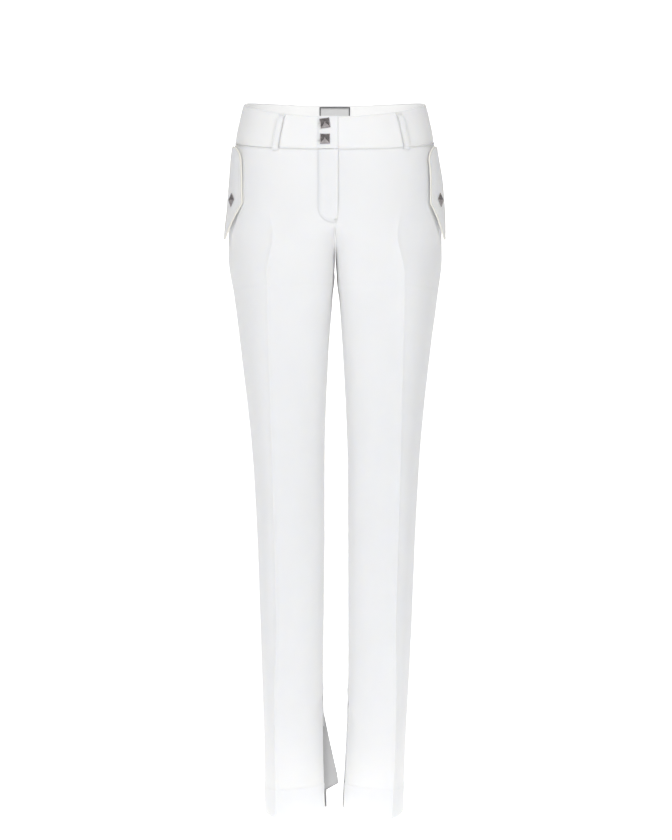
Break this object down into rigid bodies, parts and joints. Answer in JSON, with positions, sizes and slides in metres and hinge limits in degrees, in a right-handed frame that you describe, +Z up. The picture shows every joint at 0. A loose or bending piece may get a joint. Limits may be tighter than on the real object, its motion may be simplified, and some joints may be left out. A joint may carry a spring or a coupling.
{
  "type": "ski pants",
  "caption": "Slim flared ski pants with zipped hem slits, stud-closed waist and fly, belt loops and piped side pocket flaps.",
  "frame": {"origin": "middle of the waist opening, level with the top edge of the front waistband, where a wearer or a hanger holds the pants", "axes": "+Z up out of the waist, -Y to the front, +X to the wearer's left"},
  "size_m": [0.3404, 0.2331, 1.1039],
  "materials": {
    "shell_cloth": "matt white stretch twill, bonded to its lining",
    "lining_cloth": "smooth pale grey lining",
    "piping_cloth": "matt cream bound edge",
    "label_cloth": "woven satin label with a grey border",
    "stud_metal": "polished nickel, faceted",
    "zip_metal": "satin nickel",
    "zip_teeth": "grey nylon coil",
    "zip_tape": "grey woven zip tape",
    "black_trim": "matt black"
  },
  "bodies": {
    "hips": {"back_panel_upper_left": "shell_cloth", "back_panel_upper_right": "shell_cloth", "belt_loop_back_left": "shell_cloth", "belt_loop_back_right": "shell_cloth", "belt_loop_centre_back": "shell_cloth", "belt_loop_front_left": "shell_cloth", "belt_loop_front_right": "shell_cloth", "fly_guard": "lining_cloth", "fly_zip_tape_left": "zip_tape", "fly_zip_tape_right": "zip_tape", "fly_zip_teeth": "zip_teeth", "front_panel_upper_left": "shell_cloth", "front_panel_upper_right": "shell_cloth", "pocket_bag_left": "lining_cloth", "pocket_bag_right": "lining_cloth", "waist_label": "label_cloth", "waist_sockets": "stud_metal", "waistband_facing_left": "lining_cloth", "waistband_facing_right": "lining_cloth", "waistband_left": "shell_cloth", "waistband_right": "shell_cloth"},
    "pocket_flap_left": {"pocket_flap_left": "shell_cloth", "flap_piping_left": "piping_cloth", "flap_stud_left": "stud_metal"},
    "hem_slider_left": {"hem_zip_slider_left": "zip_metal"},
    "hem_pull_left": {"hem_zip_pull_left": "zip_metal"},
    "lower_leg_left": {"front_panel_lower_left": "shell_cloth", "back_panel_lower_left": "shell_cloth", "hem_facing_left": "lining_cloth", "hem_zip_tapes_left": "zip_tape", "hem_zip_teeth_left": "zip_teeth", "hem_zip_stop_left": "black_trim", "vent_guard_left": "lining_cloth"},
    "pocket_flap_right": {"pocket_flap_right": "shell_cloth", "flap_piping_right": "piping_cloth", "flap_stud_right": "stud_metal"},
    "hem_slider_right": {"hem_zip_slider_right": "zip_metal"},
    "hem_pull_right": {"hem_zip_pull_right": "zip_metal"},
    "lower_leg_right": {"front_panel_lower_right": "shell_cloth", "back_panel_lower_right": "shell_cloth", "hem_facing_right": "lining_cloth", "hem_zip_tapes_right": "zip_tape", "hem_zip_teeth_right": "zip_teeth", "hem_zip_stop_right": "black_trim", "vent_guard_right": "lining_cloth"},
    "fly": {"waist_tab": "shell_cloth", "fly_flap": "shell_cloth", "waist_stud_upper": "stud_metal", "waist_stud_lower": "stud_metal"},
    "fly_slider": {"fly_zip_slider": "zip_metal", "fly_zip_pull": "zip_metal"}
  },
  "joints": [
    {"name": "knee_left", "type": "hinge", "parent": "hips", "child": "lower_leg_left", "pos_m": [0.07, 0.0634, -0.622], "axis": [1, 0, 0], "range_deg": [0, 120]},
    {"name": "pocket_flap_lift_left", "type": "hinge", "parent": "hips", "child": "pocket_flap_left", "pos_m": [0.1505, -0.035, -0.0345], "axis": [-0.2756, -0.9613, 0], "range_deg": [0, 120]},
    {"name": "hem_zip_slide_left", "type": "slide", "parent": "lower_leg_left", "child": "hem_slider_left", "axis": [-0.0393, 0, -0.9992], "range_m": [0, 0.086]},
    {"name": "hem_pull_swing_left", "type": "hinge", "parent": "hem_slider_left", "child": "hem_pull_left", "pos_m": [0.0215, 0.00035, -0.8646], "axis": [-0.1392, 0.9903, 0], "range_deg": [0, 30]},
    {"name": "knee_right", "type": "hinge", "parent": "hips", "child": "lower_leg_right", "pos_m": [-0.07, 0.0634, -0.622], "axis": [1, 0, 0], "range_deg": [0, 120]},
    {"name": "pocket_flap_lift_right", "type": "hinge", "parent": "hips", "child": "pocket_flap_right", "pos_m": [-0.1505, -0.035, -0.0345], "axis": [-0.2756, 0.9613, 0], "range_deg": [0, 120]},
    {"name": "hem_zip_slide_right", "type": "slide", "parent": "lower_leg_right", "child": "hem_slider_right", "axis": [0.0393, 0, -0.9992], "range_m": [0, 0.086]},
    {"name": "hem_pull_swing_right", "type": "hinge", "parent": "hem_slider_right", "child": "hem_pull_right", "pos_m": [-0.0215, 0.00035, -0.8646], "axis": [-0.1392, -0.9903, 0], "range_deg": [0, 30]},
    {"name": "fly_open", "type": "hinge", "parent": "hips", "child": "fly", "pos_m": [-0.026, -0.1063, 0], "axis": [0, -0.0678, -0.9977], "range_deg": [0, 120]},
    {"name": "fly_zip_slide", "type": "slide", "parent": "hips", "child": "fly_slider", "axis": [0, -0.0436, -0.999], "range_m": [0, 0.052]}
  ]
}
